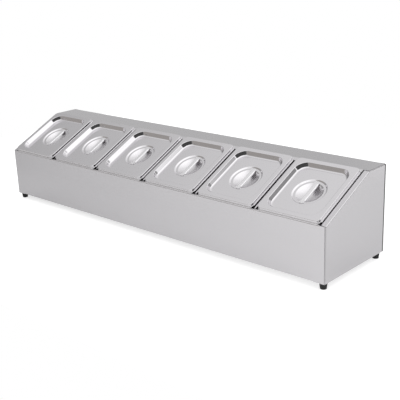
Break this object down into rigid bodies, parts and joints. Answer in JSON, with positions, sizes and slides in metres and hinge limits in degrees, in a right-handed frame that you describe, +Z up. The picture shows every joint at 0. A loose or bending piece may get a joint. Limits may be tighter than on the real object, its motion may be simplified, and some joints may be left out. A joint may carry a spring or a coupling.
{
  "type": "countertop ingredient rail",
  "caption": "Sloping stainless-steel countertop rail whose open deck carries a row of lift-out food pans, each with a recessed lid and strap handle, on short rubber feet.",
  "frame": {"origin": "middle of the whole rail's box in plan, at the underside of the feet", "axes": "+X along the rail to the right as seen from the front, +Y from the front to the rear, +Z up"},
  "size_m": [1.0526, 0.2338, 0.2229],
  "materials": {
    "housing_steel": "fine brushed, grain along the rail",
    "plain_steel": "mill finish",
    "pan_steel": "satin pressed",
    "lid_steel": "satin pressed, with bright bends",
    "handle_steel": "satin, bright cut edges",
    "fastener_steel": "plated",
    "foot_rubber": "matt black"
  },
  "bodies": {
    "housing": {"front_panel": "housing_steel", "left_side_panel": "housing_steel", "right_side_panel": "housing_steel", "top_shelf": "housing_steel", "back_panel": "housing_steel", "base_panel": "plain_steel", "divider_bar_1": "housing_steel", "divider_bar_2": "housing_steel", "divider_bar_3": "housing_steel", "divider_bar_4": "housing_steel", "divider_bar_5": "housing_steel", "foot_front_left": "foot_rubber", "foot_front_right": "foot_rubber", "foot_rear_left": "foot_rubber", "foot_rear_right": "foot_rubber", "foot_screws": "fastener_steel", "foot_washers": "fastener_steel", "foot_nuts": "fastener_steel", "back_panel_rivets": "fastener_steel"},
    "pan_1_body": {"pan_1": "pan_steel"},
    "pan_2_body": {"pan_2": "pan_steel"},
    "pan_3_body": {"pan_3": "pan_steel"},
    "pan_4_body": {"pan_4": "pan_steel"},
    "pan_5_body": {"pan_5": "pan_steel"},
    "pan_6_body": {"pan_6": "pan_steel"},
    "lid_1_body": {"lid_1": "lid_steel", "lid_handle_1": "handle_steel"},
    "lid_2_body": {"lid_2": "lid_steel", "lid_handle_2": "handle_steel"},
    "lid_3_body": {"lid_3": "lid_steel", "lid_handle_3": "handle_steel"},
    "lid_4_body": {"lid_4": "lid_steel", "lid_handle_4": "handle_steel"},
    "lid_5_body": {"lid_5": "lid_steel", "lid_handle_5": "handle_steel"},
    "lid_6_body": {"lid_6": "lid_steel", "lid_handle_6": "handle_steel"}
  },
  "joints": [
    {"name": "pan_1_lift", "type": "slide", "parent": "housing", "child": "pan_1_body", "axis": [0, -0.4321, 0.9018], "range_m": [0, 0.13]},
    {"name": "pan_2_lift", "type": "slide", "parent": "housing", "child": "pan_2_body", "axis": [0, -0.4321, 0.9018], "range_m": [0, 0.13]},
    {"name": "pan_3_lift", "type": "slide", "parent": "housing", "child": "pan_3_body", "axis": [0, -0.4321, 0.9018], "range_m": [0, 0.13]},
    {"name": "pan_4_lift", "type": "slide", "parent": "housing", "child": "pan_4_body", "axis": [0, -0.4321, 0.9018], "range_m": [0, 0.13]},
    {"name": "pan_5_lift", "type": "slide", "parent": "housing", "child": "pan_5_body", "axis": [0, -0.4321, 0.9018], "range_m": [0, 0.13]},
    {"name": "pan_6_lift", "type": "slide", "parent": "housing", "child": "pan_6_body", "axis": [0, -0.4321, 0.9018], "range_m": [0, 0.13]},
    {"name": "lid_1_lift", "type": "slide", "parent": "pan_1_body", "child": "lid_1_body", "axis": [0, -0.4321, 0.9018], "range_m": [0, 0.06]},
    {"name": "lid_2_lift", "type": "slide", "parent": "pan_2_body", "child": "lid_2_body", "axis": [0, -0.4321, 0.9018], "range_m": [0, 0.06]},
    {"name": "lid_3_lift", "type": "slide", "parent": "pan_3_body", "child": "lid_3_body", "axis": [0, -0.4321, 0.9018], "range_m": [0, 0.06]},
    {"name": "lid_4_lift", "type": "slide", "parent": "pan_4_body", "child": "lid_4_body", "axis": [0, -0.4321, 0.9018], "range_m": [0, 0.06]},
    {"name": "lid_5_lift", "type": "slide", "parent": "pan_5_body", "child": "lid_5_body", "axis": [0, -0.4321, 0.9018], "range_m": [0, 0.06]},
    {"name": "lid_6_lift", "type": "slide", "parent": "pan_6_body", "child": "lid_6_body", "axis": [0, -0.4321, 0.9018], "range_m": [0, 0.06]}
  ]
}
